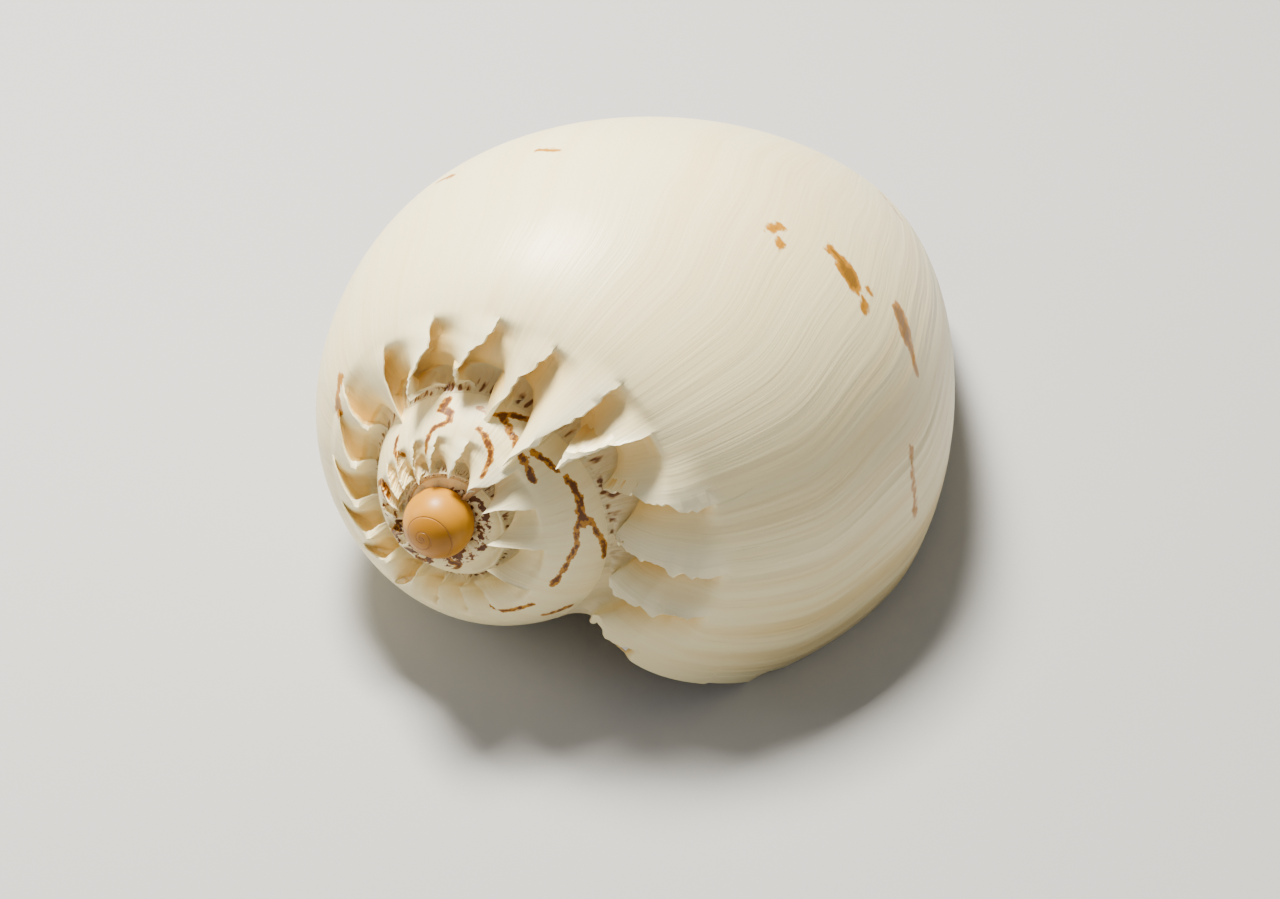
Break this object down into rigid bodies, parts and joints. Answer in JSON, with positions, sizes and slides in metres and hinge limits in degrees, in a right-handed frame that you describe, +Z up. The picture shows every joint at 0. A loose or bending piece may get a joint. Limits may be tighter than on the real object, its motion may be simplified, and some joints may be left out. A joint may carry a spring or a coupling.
{
  "type": "baler shell",
  "caption": "Large globose baler shell lying on its aperture, with a crown of torn scoop-like spines round a low spire and a smooth domed protoconch.",
  "frame": {"origin": "on the ground, under the middle of the shell's bounding box as it lies on its aperture", "axes": "+Z up from the ground, -Y towards the apex and +Y towards the siphonal notch, +X towards the outer lip"},
  "size_m": [0.2018, 0.2986, 0.1565],
  "materials": {
    "porcelain": "satin porcelain-white outside with fine growth lines, tan hollows under the spines, brown zigzag marks on the spire and a glossy cream-orange inside"
  },
  "bodies": {
    "root": {"shell": "porcelain"}
  },
  "joints": []
}
